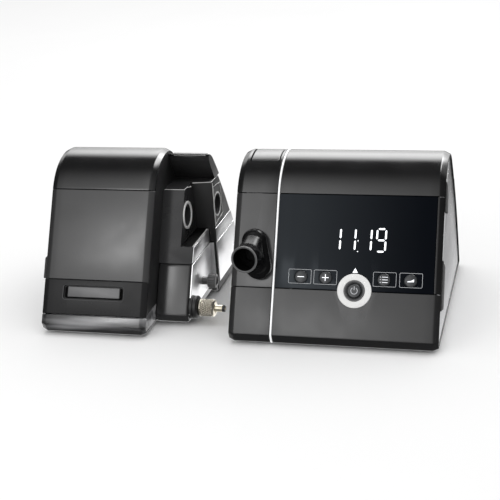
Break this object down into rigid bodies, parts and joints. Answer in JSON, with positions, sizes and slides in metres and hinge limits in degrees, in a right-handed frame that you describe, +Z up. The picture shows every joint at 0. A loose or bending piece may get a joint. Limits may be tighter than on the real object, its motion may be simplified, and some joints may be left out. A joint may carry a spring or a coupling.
{
  "type": "positive airway pressure ventilator with humidifier",
  "caption": "Bedside positive-pressure ventilator with display, keys and swivel outlet, and a heated humidifier that slides into its left side.",
  "frame": {"origin": "middle of the footprint of both modules at table height", "axes": "+X along the docking direction, from humidifier to ventilator; +Y to the rear; +Z up"},
  "size_m": [0.338, 0.1876, 0.1352],
  "materials": {
    "shell_black": "deep black gloss moulded plastic",
    "display_glass": "clear-coated blue-black display cover",
    "silver_panel": "light silver lacquered panel",
    "grip_rubber": "black soft strip",
    "frame_grey": "dark grey structural plastic",
    "column_satin": "satin black moulded plastic",
    "inner_black": "fine-textured black plastic",
    "light_white": "translucent white light guide",
    "button_satin": "satin black push button",
    "elbow_black": "smooth black polypropylene",
    "key_black": "domed blue-black key cap",
    "bezel_grey": "grey satin button and bezel",
    "lcd": "display glass",
    "board_green": "circuit board with solder mask",
    "blower_white": "off-white blower plastic",
    "steel": "bright steel",
    "seal_rubber": "dark elastomer",
    "duct_grey": "grey duct plastic",
    "foam": "open-cell foam",
    "fleece": "white filter fleece",
    "card_blue": "memory card plastic",
    "smoky_tank": "smoky translucent tank plastic",
    "nickel": "knurled nickel-plated brass",
    "seal_white": "pale silicone seal",
    "handle_satin": "satin dark grey plate"
  },
  "bodies": {
    "ventilator": {"base_tray": "shell_black", "rear_cover": "shell_black", "top_cap": "shell_black", "lower_panel": "shell_black", "display_cover": "display_glass", "right_side_panel": "silver_panel", "side_grips": "grip_rubber", "inner_frame": "frame_grey", "column_lower": "shell_black", "column_panel": "column_satin", "column_cap": "shell_black", "column_core": "inner_black", "dock_liner": "inner_black", "light_stripe": "light_white", "power_ring": "light_white", "power_bezel": "bezel_grey", "display_module": "lcd", "display_board": "board_green", "main_board": "board_green", "plug_socket": "inner_black", "blower_housing": "blower_white", "blower_lid": "blower_white", "blower_motor": "steel", "blower_bearings": "steel", "blower_cushions": "seal_rubber", "air_duct": "duct_grey", "silencer_foam": "foam", "filter_frame": "frame_grey", "coarse_filter": "foam", "fine_filter": "fleece", "power_inlet": "inner_black", "card_slot": "steel", "device_feet": "seal_rubber", "device_screws": "steel"},
    "release": {"release_button": "button_satin"},
    "elbow": {"outlet_elbow": "elbow_black"},
    "minus": {"minus_key": "key_black"},
    "plus": {"plus_key": "key_black"},
    "list": {"list_key": "key_black"},
    "ramp": {"ramp_key": "key_black"},
    "power": {"power_button": "bezel_grey"},
    "rotor": {"impeller": "blower_white"},
    "filter_door": {"filter_cover": "shell_black"},
    "card": {"memory_card": "card_blue"},
    "humidifier": {"water_tank": "smoky_tank", "tank_seal": "seal_rubber", "tank_plate": "silver_panel", "heater_rod": "steel", "heater_plug": "inner_black", "tank_feet": "seal_rubber"},
    "collar": {"collar_nut": "nickel"},
    "latch_knob": {"dock_latch": "inner_black"},
    "hood": {"hood_shell": "shell_black", "hood_front_panel": "column_satin", "hood_cap": "shell_black", "hood_plate": "silver_panel", "port_block": "inner_black", "port_seals": "seal_white"},
    "handle": {"front_handle": "handle_satin"},
    "side_release": {"side_button": "inner_black"}
  },
  "joints": [
    {"name": "dock_slide", "type": "slide", "parent": "ventilator", "child": "humidifier", "axis": [-1, 0, 0], "range_m": [-0.0706, 0]},
    {"name": "hood_lift", "type": "slide", "parent": "humidifier", "child": "hood", "axis": [0, 0, 1], "range_m": [0, 0.06]},
    {"name": "handle_pull", "type": "hinge", "parent": "hood", "child": "handle", "pos_m": [-0.12, -0.07753, 0.03837], "axis": [1, 0, 0], "range_deg": [-20, 0], "stiffness_Nm_per_rad": 0.02},
    {"name": "side_release_press", "type": "slide", "parent": "hood", "child": "side_release", "axis": [1, 0, 0], "range_m": [0, 0.0015], "stiffness_N_per_m": 800},
    {"name": "collar_turn", "type": "hinge", "parent": "humidifier", "child": "collar", "pos_m": [-0.0287, -0.05471, 0.0135], "axis": [1, 0, 0], "continuous": true},
    {"name": "latch_turn", "type": "hinge", "parent": "humidifier", "child": "latch_knob", "pos_m": [-0.0367, -0.02171, 0.024], "axis": [1, 0, 0], "range_deg": [0, 90]},
    {"name": "release_press", "type": "slide", "parent": "ventilator", "child": "release", "axis": [0, 0, -1], "range_m": [0, 0.0015], "stiffness_N_per_m": 800},
    {"name": "elbow_swivel", "type": "hinge", "parent": "ventilator", "child": "elbow", "pos_m": [0.023, -0.06695, 0.05788], "axis": [0, -0.8746, 0.4848], "range_deg": [-60, 60]},
    {"name": "minus_press", "type": "slide", "parent": "ventilator", "child": "minus", "axis": [0, 0.8746, -0.4848], "range_m": [0, 0.0008], "stiffness_N_per_m": 1200},
    {"name": "plus_press", "type": "slide", "parent": "ventilator", "child": "plus", "axis": [0, 0.8746, -0.4848], "range_m": [0, 0.0008], "stiffness_N_per_m": 1200},
    {"name": "list_press", "type": "slide", "parent": "ventilator", "child": "list", "axis": [0, 0.8746, -0.4848], "range_m": [0, 0.0008], "stiffness_N_per_m": 1200},
    {"name": "ramp_press", "type": "slide", "parent": "ventilator", "child": "ramp", "axis": [0, 0.8746, -0.4848], "range_m": [0, 0.0008], "stiffness_N_per_m": 1200},
    {"name": "power_press", "type": "slide", "parent": "ventilator", "child": "power", "axis": [0, 0.8746, -0.4848], "range_m": [0, 0.0008], "stiffness_N_per_m": 1200},
    {"name": "rotor_spin", "type": "hinge", "parent": "ventilator", "child": "rotor", "pos_m": [0.104, 0.01029, 0.025], "axis": [0, 0, 1], "continuous": true},
    {"name": "filter_door_open", "type": "hinge", "parent": "ventilator", "child": "filter_door", "pos_m": [0.104, 0.07657, 0.04346], "axis": [-1, 0, 0], "range_deg": [0, 80]},
    {"name": "card_push", "type": "slide", "parent": "ventilator", "child": "card", "axis": [0, 0.9158, 0.4017], "range_m": [0, 0.02]}
  ]
}
